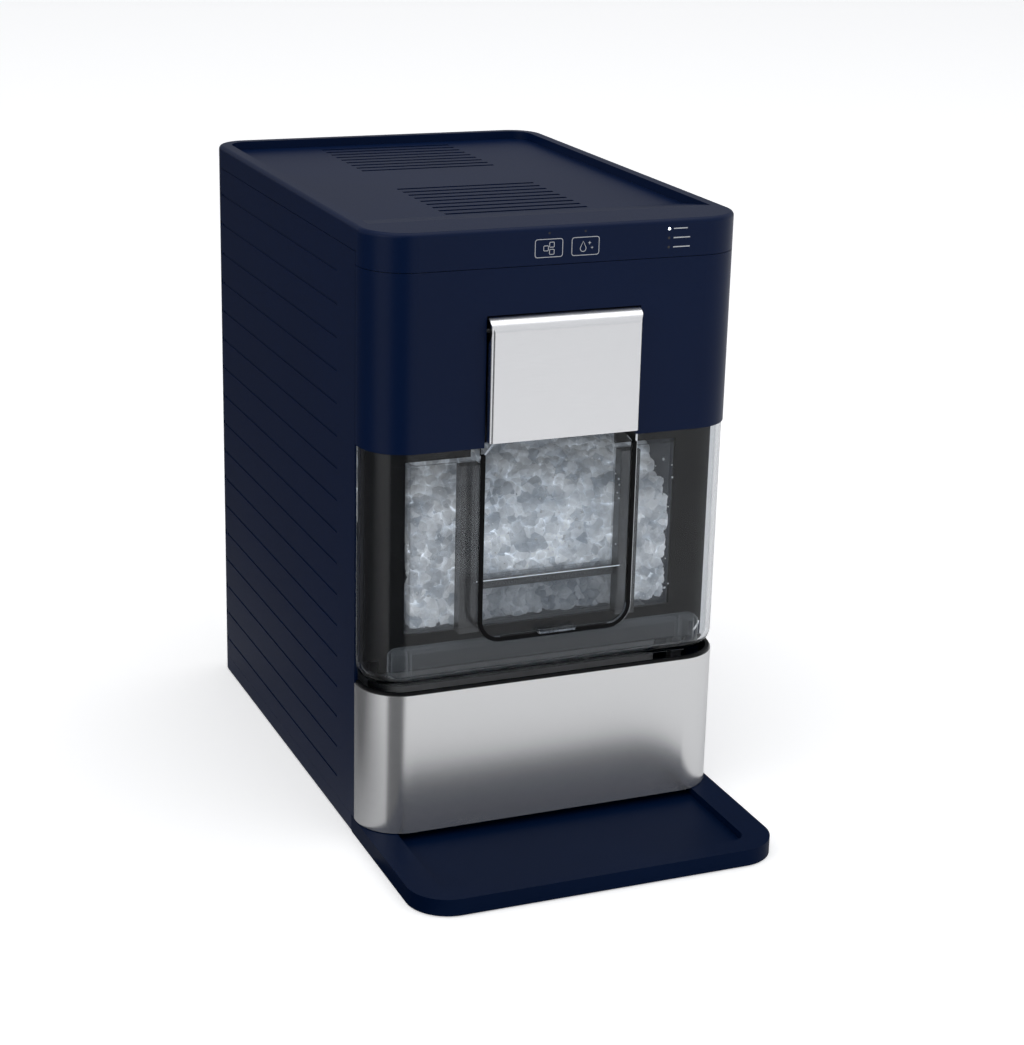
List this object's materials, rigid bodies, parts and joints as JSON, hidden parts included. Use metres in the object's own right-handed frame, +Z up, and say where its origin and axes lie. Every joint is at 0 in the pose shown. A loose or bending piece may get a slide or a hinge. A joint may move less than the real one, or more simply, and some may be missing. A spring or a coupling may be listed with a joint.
{
  "type": "countertop nugget ice maker",
  "caption": "Countertop nugget ice maker with a lift-up scoop door in a clear window, a steel skirt, grooved sides and a slide-out drip tray.",
  "frame": {"origin": "middle of the whole outline, on the counter", "axes": "+Z up; -Y toward the user, through the door; +X to the right of a user facing the machine"},
  "size_m": [0.259, 0.469, 0.419],
  "materials": {
    "bare_steel": "machined",
    "black_plastic": "satin moulded",
    "brushed_steel": "brushed",
    "circuit_board": "coated board",
    "clear_plastic": "clear smoked",
    "copper_pipe": "drawn pipe",
    "fin_aluminium": "rolled sheet",
    "grey_plastic": "moulded",
    "lens": "clear lens",
    "navy_plastic": "satin moulded",
    "painted_steel": "gloss paint",
    "rubber": "moulded",
    "white_plastic": "moulded"
  },
  "bodies": {
    "cabinet": {"base_pan": "navy_plastic", "rubber_feet": "rubber", "left_side_panel": "navy_plastic", "right_side_panel": "navy_plastic", "rear_panel": "navy_plastic", "panel_screws": "bare_steel", "inner_frame": "grey_plastic", "top_cover": "navy_plastic", "indicator_lenses": "lens", "display_board": "circuit_board", "front_panel": "navy_plastic", "hinge_brackets": "black_plastic", "clear_window": "clear_plastic", "window_ledge": "clear_plastic", "inner_liner": "black_plastic", "ice_bin": "clear_plastic", "bin_rim": "clear_plastic", "steel_skirt": "brushed_steel", "skirt_backer": "black_plastic", "water_reservoir": "white_plastic", "pump_housing": "black_plastic", "supply_tube": "white_plastic", "drain_hose": "rubber", "evaporator_barrel": "bare_steel", "evaporator_coil": "copper_pipe", "evaporator_insulation": "white_plastic", "extruder_head": "grey_plastic", "gearbox_case": "grey_plastic", "gear_motor": "painted_steel", "ice_chute": "grey_plastic", "ice_level_sensor": "black_plastic", "compressor": "painted_steel", "compressor_mounts": "rubber", "condenser_fins": "fin_aluminium", "condenser_tube": "copper_pipe", "fan_shroud": "black_plastic", "fan_motor": "painted_steel", "suction_line": "copper_pipe", "discharge_line": "copper_pipe", "liquid_line": "copper_pipe", "filter_drier": "copper_pipe", "main_board": "circuit_board", "power_inlet": "black_plastic"},
    "scoop_door": {"door_plate": "brushed_steel", "door_carrier": "black_plastic", "hinge_pins": "bare_steel", "door_flap": "clear_plastic", "door_gasket": "rubber"},
    "tray": {"drip_tray": "navy_plastic"},
    "auger_shaft": {"auger": "bare_steel", "auger_gear": "bare_steel"},
    "motor_shaft": {"motor_pinion": "bare_steel"},
    "fan_wheel": {"fan_blades": "white_plastic"},
    "pump_rotor": {"pump_impeller": "white_plastic"},
    "float_ring": {"float": "white_plastic"},
    "plug": {"drain_plug": "rubber"}
  },
  "joints": [
    {"name": "door_hinge", "type": "hinge", "parent": "cabinet", "child": "scoop_door", "pos_m": [0, -0.1343, 0.354], "axis": [-1, 0, 0], "range_deg": [0, 85]},
    {"name": "tray_slide", "type": "slide", "parent": "cabinet", "child": "tray", "axis": [0, -1, 0], "range_m": [0, 0.15]},
    {"name": "auger_spin", "type": "hinge", "parent": "cabinet", "child": "auger_shaft", "pos_m": [0, 0.0885, 0.2], "axis": [0, 0, 1], "continuous": true},
    {"name": "motor_spin", "type": "hinge", "parent": "cabinet", "child": "motor_shaft", "pos_m": [0.0453, 0.0885, 0.117], "axis": [0, 0, 1], "continuous": true},
    {"name": "fan_spin", "type": "hinge", "parent": "cabinet", "child": "fan_wheel", "pos_m": [0.056, 0.1805, 0.129], "axis": [0, 1, 0], "continuous": true},
    {"name": "pump_spin", "type": "hinge", "parent": "cabinet", "child": "pump_rotor", "pos_m": [-0.08, 0.0685, 0.03], "axis": [0, 0, 1], "continuous": true},
    {"name": "float_rise", "type": "slide", "parent": "cabinet", "child": "float_ring", "axis": [0, 0, 1], "range_m": [0, 0.05]},
    {"name": "plug_pull", "type": "slide", "parent": "cabinet", "child": "plug", "axis": [0, 1, 0], "range_m": [0, 0.02]}
  ],
  "couplings": [
    {"joint": "motor_spin", "follows": "auger_spin", "ratio": -4}
  ]
}
